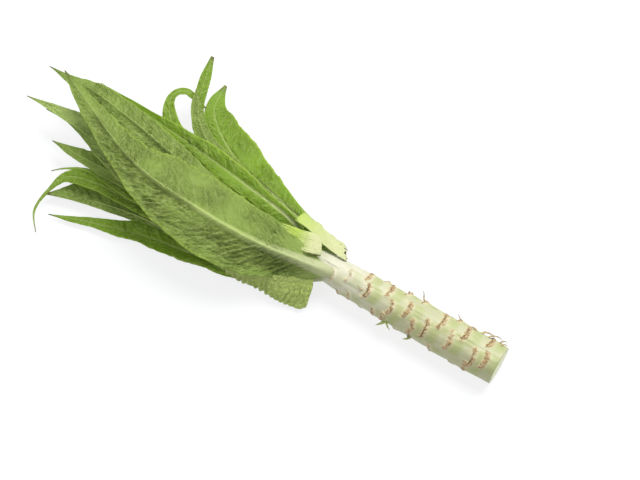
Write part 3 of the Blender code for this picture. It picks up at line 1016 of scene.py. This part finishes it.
@dataclass
class Crown:
    """All the leaves that grow from the stem's top, two of them in a brighter copy of the finish, painted
    light where the top leaf's shadow falls on them.
    """

    finish: LeafFinish = LeafFinish()
    # pale is the painted-light copy of the finish
    pale: LeafFinish = PAINTED_LIGHT_LEAF
    painted_light_leaves: tuple = ("leaf_left_long", "leaf_left_broad")

    def build(self, bench: Bench) -> None:
        """Builds every leaf.

        Args:
            bench: makes the mesh objects.
        """
        material = self.finish.make("leaf_skin")
        # the brighter copy is painted light on the shaded left leaves
        pale = self.pale.make("painted_light_leaf_skin")
        for number, plan in enumerate(LEAF_PLANS):
            worn = pale if plan.name in self.painted_light_leaves else material
            Leaf(plan, seed=number + 1.0).build(bench, worn)


@dataclass
class Sheet:
    """A thin pleated sheet spread between two lines, such as a lobe or a torn sheath.

    near and far are the lines, both read from the same end. bulge lifts the middle, pleats run
    from near to far, crumple is how bubbly it is, streaks how strongly it is lined along its
    length, and torn how far the end is ragged. pale is the share of pale colour at the start and
    the end, and a lip makes the end rise and its near corner brown. Lengths are in millimetres.
    """

    name: str
    near: tuple
    far: tuple
    replaces: str = ""
    slot: Slot = Slot.OUTER
    bulge: float = 4.0
    pleats: float = 13.0
    depth: float = 2.2
    thickness: float = 0.6
    torn: float = 0.0
    pale: tuple = (0.25, 0.25)
    face: float = 0.0
    crumple: float = 0.8
    streaks: float = 0.0
    lip: float = 0.0
    columns: int = 170
    rows: int = 40
    seed: float = 3.0

    def swell(self, u: Array) -> Array:
        """How much of the bulge stands at share u, so that a lip can rise out of the leaf under it."""
        return smooth(0.3, 0.85, u) if self.lip else 1 + 0 * u

    def lines(self) -> tuple[Array, Array, Array, float]:
        """Spreads the sheet flat between its two lines.

        Returns:
            Shares along and across, the points, and the near line's length.
        """
        w = np.linspace(0.0, 1.0, self.rows)[None, :]
        ragged = sum(much * ripple(w * often, 0 * w, self.seed + k)
                     for k, (much, often) in enumerate(((0.5, 5), (0.3, 13), (0.35, 31))))
        near_line, long = even_line(np.asarray(self.near, float), 60)
        far_line = even_line(np.asarray(self.far, float), 60)[0]
        u = np.linspace(0.0, 1.0, self.columns)[:, None] + 0 * w
        u = u * (1 - np.abs(ragged) * self.torn / long)
        inner = along(near_line, u)
        return u, w, inner + (along(far_line, u) - inner) * w[..., None], long

    def build(self, bench: Bench, material: Material) -> None:
        """Builds the sheet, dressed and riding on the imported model.

        Args:
            bench: makes the mesh object.
            material: the leaf finish.
        """
        seed = self.seed
        u, w, sheet, long = self.lines()
        normal = unit(np.cross(np.gradient(sheet, axis=1), np.gradient(sheet, axis=0)))
        normal *= np.where(normal[..., 2:3] < 0, -1.0, 1.0)
        drift = u + 0.035 * ripple(u * 5, w * 2, seed) + 0.012 * ripple(u * 14, w * 4, seed + 2)
        drift = drift + 0.03 * ripple(u * 3 + 7, w, seed + 9)
        pleat = np.sin(2 * np.pi * self.pleats * drift) * (0.6 + 0.6 * ripple(u * 9, w * 3, seed + 4))
        bubbles = cells(drift * long / 4.0, w * 5, seed + 5)
        streak = ripple(w * 24, u * 1.5, seed + 8)
        height = self.bulge * self.swell(u) * np.sin(np.pi * (0.08 + 0.84 * w))
        height = height + self.depth * smooth(0.12, 0.8, w) * pleat
        height = height + 0.5 * self.streaks * streak
        height = height + self.crumple * (bubbles - 0.5 + 0.8 * ripple(u * 11, w * 3, seed + 6))
        sheet = sheet + normal * height[..., None]
        ring = two_faces(sheet + normal * self.thickness / 2, sheet - normal * self.thickness / 2)

        def both(values: Array) -> Array:
            """One mark for the points of both faces."""
            values = np.broadcast_to(values, u.shape)
            return two_faces(values, values).reshape(-1)

        nothing = 0 * u
        across = both(w * 25)
        marks = {
            "place": np.stack([both(u * long), across, both(nothing + 90 * seed)], axis=1),
            "comb": np.stack([both(drift * long), across, both(nothing + 7 * seed)], axis=1),
            "crinkle": both(nothing + 0.9 - 0.7 * self.streaks),
            "face": both(nothing + self.face),
            # vein holds the pale streaks plus a painted highlight on the pleat crests; hollow is painted
            # shade in the pleat troughs
            "vein": both(np.maximum(smooth(0.45, 1.0, pleat) * smooth(0.1, 0.5, w) * 0.8,
                                    self.streaks * smooth(0.0, 0.6, streak))),
            "hollow_shade": both(smooth(0.2, 1.0, -pleat) * 0.5),
            "edge": both(np.maximum(smooth(0.93, 1.0, w), smooth(0.97, 1.0, u))),
            "rib": both(nothing),
            "pale": both(np.clip(self.pale[0] + (self.pale[1] - self.pale[0]) * u, 0.0, 1.0)),
            "tip": both(self.lip * (1 - smooth(0.02, 0.07, w)) * smooth(0.70, 0.78, u)),
        }
        faces = capped_tube(self.columns, ring.shape[1])
        made = bench.piece(self.name, ring.reshape(-1, 3), faces, marks, material)
        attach(made, "root")
        if self.replaces:
            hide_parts(self.replaces)
        log.info("%s: %d columns", self.name, self.columns)


SHEETS = (
    Sheet(
        name="leaf_front_lobe_fan", replaces="leaf_front_lobe",
        near=((-98, -46, 25), (-77, -46, 29), (-57, -41, 31), (-40, -35, 31), (-25, -27, 30), (-12, -20, 29),
              (-7, -18, 28)),
        far=((-92, -48, 12), (-80, -51, 8), (-63, -49, 7), (-50, -47, 6), (-34, -48, 5), (-19, -46, 4),
             (-9, -44, 4), (-4, -39, 6)),
        pleats=16.0, depth=1.7, crumple=1.0, face=0.2, torn=2.0, rows=60,
    ),
    Sheet(
        name="leaf_top_auricle",
        near=((-62, -4, 48), (-50, -6, 47.5), (-40, -7, 46.5), (-30, -7, 46.5), (-21, -7, 48),
              (-10, -2, 45.5)),
        far=((-60, 8, 47), (-50, 10, 47), (-40, 12, 46.5), (-30, 14, 46.5), (-20.5, 15, 45.5)),
        bulge=3.5, lip=1.0, pleats=1.5, depth=0.5, thickness=1.2, torn=2.0, pale=(-1.2, 1.5), crumple=0.3,
        streaks=1.0, columns=70, rows=70, seed=7.0,
    ),
    Sheet(
        name="torn_sheath", replaces="leaf_flap", slot=Slot.STEM,
        near=((-54, 20, 38), (-36, 18, 38), (-20, 13, 38), (-2, 11, 36), (12, 9, 35)),
        far=((-54, 38, 23), (-36, 35, 23), (-18, 31, 24), (-8, 30, 24), (3, 26, 24)),
        bulge=2.5, pleats=3.5, depth=0.9, thickness=0.9, torn=11.0, pale=(0.1, 1.4), crumple=0.4,
        streaks=1.0, columns=90, rows=60, seed=9.0,
    ),
)


# ---------------------------------------------------------------- stem


@dataclass(frozen=True)
class Scar:
    """Where a leaf was stripped off: place along the stem, angle round it, arc and strength."""

    x: float
    angle: float
    span: float = 68.0
    strength: float = 1.0


SEEN_SCARS = (
    Scar(8, -39, 60, 0.4), Scar(23.5, -6, 60, 0.5), Scar(40, 37), Scar(30, -79, 50, 0.6),
    Scar(46, -23, 62), Scar(56, 69, 50), Scar(65, 24, 70), Scar(73, -34, 60), Scar(68.5, -79, 50),
    Scar(89, -9, 66), Scar(80, 69, 56), Scar(99, -51, 60), Scar(98, 70, 60), Scar(112, -35, 70),
    Scar(123, 19, 76), Scar(137, -27, 70), Scar(135, 68, 60), Scar(148, 19, 70), Scar(164, -38, 66),
    Scar(172, 40, 66), Scar(160, -84, 60),
)


@dataclass
class Stem:
    """The stripped stem: grooved pale skin, raised scars and the plain cut end.

    Lengths are in millimetres and angles in degrees. From hidden_x on, the crown covers the stem
    and its rings are farther apart.
    """

    step: float = 0.85
    hidden_x: float = -22.0
    hidden_step: float = 3.0
    around: int = 150
    cut_rings: int = 22
    vessel_ring: float = 0.86
    pith_swell: float = 0.35
    spiral_scars: int = 40
    scar_step: float = 4.9
    scar_turn: float = 137.5
    room_along: float = 11.0
    room_round: float = 60.0
    cushion: float = 1.3
    ridge: float = 1.7
    dip: float = 0.6
    finish: StemFinish = StemFinish()

    def scars(self) -> list[Scar]:
        """The scars that are known, and the rest of the spiral between them.

        Returns:
            Every scar.
        """
        found = list(SEEN_SCARS)
        for k in range(self.spiral_scars):
            x = 4.0 + self.scar_step * k
            angle = (20.0 + self.scar_turn * k) % 360.0 - 180.0
            apart = [
                abs(x - s.x) / self.room_along + abs(wrapped(angle - s.angle)) / self.room_round
                for s in found
            ]
            if min(apart) > 1.0 and x < STEM_CUT_X - 5:
                found.append(Scar(x, angle, 62.0, 0.8))
        return found

    def relief(self, x: Array, turn: Array) -> tuple[Array, dict[str, Array]]:
        """The skin's lift, with its grooves and scars, and what each scar colours.

        Args:
            x: place along the stem, in millimetres.
            turn: place round it, in degrees.

        Returns:
            The lift in millimetres, and the scar, cream and green marks.
        """
        lift = 0.35 * waves(x, turn, (16, 40), 1.0) + 0.22 * waves(x, turn, (22, 7), 2.0)
        scar, cream, green = (np.zeros_like(lift) for _ in range(3))
        for number, s in enumerate(self.scars()):
            off = wrapped(turn - s.angle) / (s.span / 2)
            inside = np.clip(1 - off ** 2, 0.0, 1.0)
            here = (0.8 * ripple(turn / 9, turn * 0 + number, 11.0)
                    + 0.5 * ripple(turn / 3, x / 3 + number, 14.0))
            u = x - (s.x - 3.0 * off ** 2 + here)
            ragged = (0.75 + 0.55 * ripple(turn / 3.5, x / 1.6 + number, 12.0)
                      + 0.35 * ripple(turn / 8, x * 0 + number, 13.0))
            cushion = self.cushion * inside ** 0.7 * np.exp(-np.clip(u, 0, None) / 8) * smooth(-1.6, 0.4, u)
            ridge = self.ridge * s.strength * np.sqrt(inside) * ragged * bump_at(u, -0.9, 1.7)
            lift = lift + cushion + ridge - self.dip * inside * bump_at(u, -4.0, 2.0)
            scar = np.maximum(scar, s.strength * smooth(0.02, 0.25, inside) * bump_at(u, -1.0, 2.6) * ragged)
            cream = np.maximum(cream, s.strength * smooth(0.0, 0.2, inside) * bump_at(u, -1.0, 4.4))
            green = np.maximum(green, s.strength * smooth(0.10, 0.22, inside)
                               * smooth(2.2, 3.0, u) * (1 - smooth(10, 16, u)))
        soft_end = np.clip((STEM_CUT_X - x) / 2.0, 0.0, 1.0)
        return lift * soft_end, {"scar": scar, "cream": cream, "green": green}

    def cut_face(self, edge: Array, centre: Array, reach: Array) -> Array:
        """Rings of points on the cut end: sawn, with a groove at the ring of vessels.

        Args:
            edge: the ring of points round the cut.
            centre: the cut's middle.
            reach: how far each ring is from the middle, 1 at the edge.

        Returns:
            The rings, outermost first.
        """
        cap = centre + (edge - centre) * reach[..., None]
        saw = 0.18 * ripple(cap[..., 1] / 1.5, cap[..., 2] / 9, 6.0)
        groove = 0.5 * bump_at(reach, self.vessel_ring, 0.05)
        cap[..., 0] = centre[0] + saw - groove + self.pith_swell * (1 - reach ** 2)
        return cap

    def build(self, bench: Bench) -> None:
        """Builds the stem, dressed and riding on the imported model.

        Args:
            bench: makes the mesh object.
        """
        fine = np.arange(STEM_CUT_X, self.hidden_x, -self.step)
        coarse = np.arange(self.hidden_x, STEM_APEX_X, -self.hidden_step)
        n = self.around
        x, angle = np.broadcast_arrays(np.concatenate([fine, coarse])[:, None],
                                       (np.arange(n) * 2 * np.pi / n)[None, :])
        lift, scarred = self.relief(x, np.degrees(angle))
        ring = stem_point(x, angle, lift)
        centre = np.array([STEM_CUT_X, 0.0, float(stem_section(STEM_CUT_X)[1])])
        apex = [STEM_APEX_X - 4, 0, float(stem_section(STEM_APEX_X)[1])]
        reach = np.linspace(1.0, 0.0, self.cut_rings + 1)[1:-1][:, None]
        cap = self.cut_face(ring[0][None], centre, reach)
        body = np.concatenate([cap[::-1], ring], axis=0)
        rows = body.shape[0]
        points = np.vstack([body.reshape(-1, 3), centre[None] + [[self.pith_swell, 0, 0]], [apex]])
        hub_number, apex_number = len(points) - 2, len(points) - 1
        last = (rows - 1) * n
        faces = turned_over(tube_faces(rows, n))
        faces += [[hub_number, k, (k + 1) % n] for k in range(n)]
        faces += [[apex_number, last + (k + 1) % n, last + k] for k in range(n)]

        def spread(values: Array, on_cut: float = 0.0) -> Array:
            """One mark for the cut end and the skin, and for the two middle points."""
            whole = np.concatenate([np.full((len(cap), n), on_cut), values], axis=0)
            return np.concatenate([whole.reshape(-1), [on_cut, 0.0]])

        share = np.concatenate([np.repeat(reach[::-1], n, axis=1), np.ones_like(lift)], axis=0)
        radial = np.concatenate([share.reshape(-1), [0.0, 1.0]])
        vessel = bump_at(radial, self.vessel_ring - 0.02, 0.05) + 0.9 * smooth(0.95, 0.99, radial)
        flat = spread(0 * lift, 1.0)
        on_cut = flat > 0
        marks = {
            "place": np.stack([np.where(on_cut, points[:, 2], spread(x, STEM_CUT_X)),
                               np.where(on_cut, points[:, 1], spread(angle * 18.0)), 30 * flat], axis=1),
            "scar": np.clip(spread(scarred["scar"]), 0, 1),
            "cream": 0.7 * spread(scarred["cream"]),
            "green": 0.85 * spread(scarred["green"]),
            "white": spread(1 - smooth(20, 90, x)),
            "cut": flat,
            "vessel": np.clip(vessel, 0, 1) * flat,
        }
        made = bench.piece("stem_stripped", points, faces, marks, self.finish.make("stem_skin"))
        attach(made, "root")
        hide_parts("stem")
        log.info("stem: %d rings, %d scars", rows, len(self.scars()))


@dataclass(frozen=True)
class StubPlan:
    """A torn leaf base: place along the stem, angle, arc, height and how it leans."""

    x: float
    angle: float
    span: float
    rise: float = 2.6
    lean: float = -1.2


STUB_PLANS = (
    StubPlan(46, -23, 62), StubPlan(65, 24, 70), StubPlan(80, 66, 56), StubPlan(98, 68, 60),
    StubPlan(112, -35, 70), StubPlan(123, 19, 76), StubPlan(136, 66, 60), StubPlan(148, 14, 60),
    StubPlan(73, -84, 44), StubPlan(100, -92, 44), StubPlan(164, -38, 60), StubPlan(172, 40, 66),
)


@dataclass
class TornStubs:
    """The dry torn bases of stripped leaves that still stand on the stem, sunk a little in it."""

    thick: float = 0.9
    thin: float = 0.25
    sunk: float = 0.4
    levels: int = 6
    finish: DryFinish = DryFinish()

    def stub(self, bench: Bench, number: int, plan: StubPlan, material: Material) -> None:
        """Builds one stub.

        Args:
            bench: makes the mesh object.
            number: the stub's number.
            plan: its place and size.
            material: the dry finish.
        """
        columns = int(plan.span * 0.9)
        off = np.linspace(-1.0, 1.0, columns)[:, None]
        level = np.linspace(0.0, 1.0, self.levels)[None, :]
        degrees = plan.angle + off * plan.span / 2
        angle = np.radians(degrees)
        which = number + 0 * degrees
        jag = 0.55 + 0.55 * ripple(degrees / 4.0, which, 21.0) + 0.3 * ripple(degrees / 1.7, which, 22.0)
        height = plan.rise * np.clip(1 - off ** 2, 0, 1) ** 0.5 * np.clip(jag, 0.12, 1.5)
        base_x = plan.x - 2.2 * off ** 2 - 0.9
        lift = -self.sunk + (height + self.sunk) * level
        drift = plan.lean * level ** 1.6 + 0.5 * ripple(degrees / 5, level * 2, 23.0 + number) * level
        wall = self.thick + (self.thin - self.thick) * level
        front = stem_point(base_x + drift + wall / 2, angle, lift)
        back = stem_point(base_x + drift - wall / 2, angle, lift)
        ring = two_faces(front, back)
        points = ring.reshape(-1, 3)
        up = np.broadcast_to(level, front.shape[:2])
        marks = {"place": points, "height": two_faces(up, up).reshape(-1)}
        faces = turned_over(capped_tube(columns, ring.shape[1]))
        made = bench.piece(f"torn_stub_{number:02d}", points, faces, marks, material)
        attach(made, "root")
        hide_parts(f"leaf_stub_{number:02d}")

    def build(self, bench: Bench) -> Material:
        """Builds every stub.

        Args:
            bench: makes the mesh objects.

        Returns:
            The dry finish.
        """
        material = self.finish.make("dry_leaf_base")
        for number, plan in enumerate(STUB_PLANS):
            self.stub(bench, number + 1, plan, material)
        log.info("torn stubs: %d", len(STUB_PLANS))
        return material


@dataclass(frozen=True)
class Shred:
    """A dry curled thread left at a scar: places along it as x, angle and height over the skin."""

    course: tuple
    width: float = 1.4
    green: bool = False


SHREDS = (
    Shred(((95, 72, 0), (92, 76, 3), (90, 74, 7), (88, 70, 9)), 1.8),
    Shred(((134, 72, 0), (131, 74, 3), (128, 70, 5)), 1.3),
    Shred(((40, -24, 0), (37, -26, 1.6), (34, -22, 3.6)), 1.5),
    Shred(((72, -92, 0), (69, -96, 4), (65, -100, 8)), 3.4, True),
    Shred(((70, -84, 0), (76, -90, 4), (80, -96, 5)), 3.0, True),
    Shred(((100, -98, 0), (98, -100, 3), (94, -98, 6)), 2.6, True),
    Shred(((157, 52, 0), (160, 56, 2.5), (166, 58, 3.5), (170, 60, 2.5)), 2.2),
    Shred(((164, 50, 0), (168, 58, 3.0), (174, 62, 4.5), (178, 60, 3.0)), 1.6),
    Shred(((176, 52, 0), (179, 60, 3.5), (183, 62, 4.2)), 1.6),
    Shred(((178, 44, 0), (181, 48, 2.4), (185, 52, 2.0)), 1.3),
    Shred(((153, 40, 0), (150, 46, 2.0), (146, 50, 1.6)), 2.2),
    Shred(((60, 160, 0), (57, 163, 2.5), (54, 160, 4.0)), 1.6),
    Shred(((118, 140, 0), (115, 143, 2.5), (111, 141, 3.5)), 1.6),
)


@dataclass
class Shreds:
    """The loose dry threads and green spikes at the scars."""

    rows: int = 22
    thickness: float = 0.5
    point: float = 0.12
    sunk: float = 0.5
    curl: float = 0.3

    def build(self, bench: Bench, dry: Material, green: Material) -> None:
        """Builds every shred.

        Args:
            bench: makes the mesh objects.
            dry: the dry finish.
            green: the finish of the spikes that are still green.
        """
        for number, shred in enumerate(SHREDS):
            course = np.array([
                stem_point(x, math.radians(angle), lift - self.sunk * (k == 0))
                for k, (x, angle, lift) in enumerate(shred.course)
            ])
            line = even_line(course, self.rows)[0]
            share = np.linspace(0.0, 1.0, self.rows)
            tangent = unit(np.gradient(line, axis=0))
            side = unit(np.cross(tangent, np.array([0.3, 0.2, 1.0])))
            over = np.cross(side, tangent)
            half = (shred.width / 2 * (1 - share ** 1.6) + self.point)[:, None]
            curl = (self.curl * shred.width * (1 - share))[:, None]
            thick = (self.thickness / 2 * (1 - 0.6 * share))[:, None]
            ring = np.stack([
                line - side * half + over * curl, line - over * thick, line + side * half + over * curl,
                line + over * thick * 1.4,
            ], axis=1)
            points = ring.reshape(-1, 3)
            level = np.repeat(share, 4)
            height = 0.1 + 0.6 * level ** 3 if shred.green else 0.25 + 0.75 * level
            made = bench.piece(f"dry_shred_{number + 1:02d}", points, capped_tube(self.rows, 4),
                               {"place": points, "height": height}, green if shred.green else dry)
            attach(made, "root")
        log.info("shreds: %d", len(SHREDS))


# ---------------------------------------------------------------- the studio


@dataclass
class Studio:
    """The pale table, the soft light and the camera.

    The target is in the design frame, in millimetres, and so is the distance. The lamps' places
    and sizes are in metres.
    """

    target: tuple = (-22.94, 16.83, 34.30)
    azimuth: float = 31.7
    elevation: float = 65.0
    distance: float = 1465.78
    lens: float = 85.0
    sensor: float = 36.0
    floor_size: float = 6.0
    key: tuple = ((0.25, 1.05, 1.70), 1.3, 62.0)
    fill: tuple = ((-0.7, -1.3, 1.5), 1.8, 17.0)
    sky: float = 0.50
    table_glow: float = 0.78

    def camera(self, bench: Bench) -> None:
        """Sets the camera over the near side, looking down.

        Args:
            bench: knows where the design frame lies.
        """
        a, e = math.radians(self.azimuth), math.radians(self.elevation)
        back = Vector((math.sin(a) * math.cos(e), -math.cos(a) * math.cos(e), math.sin(e)))
        data = bpy.data.cameras.new("camera")
        data.lens = self.lens
        data.sensor_width = self.sensor
        target = Vector((np.array(self.target) * MM + bench.slide).tolist())
        bpy.context.scene.camera = self.hang(data, target + back * self.distance * MM, back)

    def hang(self, data: bpy.types.ID, place: Vector, back: Vector) -> bpy.types.Object:
        """Hangs a lamp or the camera.

        Args:
            data: the lamp or the camera.
            place: where it hangs.
            back: the way that its back looks.

        Returns:
            The object, linked to the scene.
        """
        made = bpy.data.objects.new(data.name, data)
        made.location = place
        made.rotation_mode = "QUATERNION"
        made.rotation_quaternion = (-back).to_track_quat("-Z", "Y")
        bpy.context.scene.collection.objects.link(made)
        return made

    def lamp(self, name: str, place: tuple, size: float, power: float) -> None:
        """A soft square lamp that faces the middle of the table.

        Args:
            name: the lamp's name.
            place: where it hangs, in metres.
            size: its side, in metres.
            power: its strength, in watts.
        """
        data = bpy.data.lights.new(name, "AREA")
        data.shape = "SQUARE"
        data.size = size
        data.energy = power
        self.hang(data, Vector(place), Vector(place))

    def floor(self) -> None:
        """The table: near-white, with a faint cloudiness."""
        mesh = bpy.data.meshes.new("table")
        h = self.floor_size / 2
        mesh.from_pydata([(-h, -h, 0), (h, -h, 0), (h, h, 0), (-h, h, 0)], [], [(0, 1, 2, 3)])
        made = bpy.data.objects.new("table", mesh)
        bpy.context.scene.collection.objects.link(made)
        t = Tree("table_paint")
        where = t.add("TexCoord", {}).outputs["Object"]
        clouds = t.noise(where, 3.0)
        paint = t.mix(clouds, shade(0.17, 0.17, 0.17), shade(0.16, 0.163, 0.166))
        glow = t.mix(clouds, shade(1.0, 1.0, 1.0), shade(0.985, 0.99, 0.995))
        material = t.surface(paint, 0.8, t.bump(t.noise(where, 300.0), 0.0001, 0.2), specular=0.1)
        shader = t.nodes["Principled BSDF"]
        t.links.new(glow, shader.inputs["Emission Color"])
        shader.inputs["Emission Strength"].default_value = self.table_glow
        mesh.materials.append(material)

    def build(self, bench: Bench) -> None:
        """Builds the table, the light and the camera.

        Args:
            bench: knows where the design frame lies.
        """
        self.floor()
        self.camera(bench)
        self.lamp("key_lamp", *self.key)
        self.lamp("fill_lamp", *self.fill)
        world = bpy.data.worlds.new("studio")
        world.use_nodes = True
        sky = world.node_tree.nodes["Background"].inputs
        sky["Color"].default_value = shade(1.0, 1.0, 1.0)
        sky["Strength"].default_value = self.sky
        bpy.context.scene.world = world
        bpy.context.scene.view_settings.view_transform = "Standard"
        log.info("studio ready")


def main() -> None:
    """Builds the celtuce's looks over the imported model, and the studio."""
    logging.basicConfig(level=logging.INFO, format="%(message)s")
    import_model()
    bench = Bench()
    Stem().build(bench)
    dry = TornStubs().build(bench)
    Shreds().build(bench, dry, GREEN_SPIKE.make("green_spike"))
    Crown().build(bench)
    young_brightened_skin = YOUNG_BRIGHTENED_LEAF.make("young_brightened_leaf_skin")
    for sheet in SHEETS:
        sheet.build(bench, young_brightened_skin)
    Studio().build(bench)


if __name__ == "__main__":
    main()
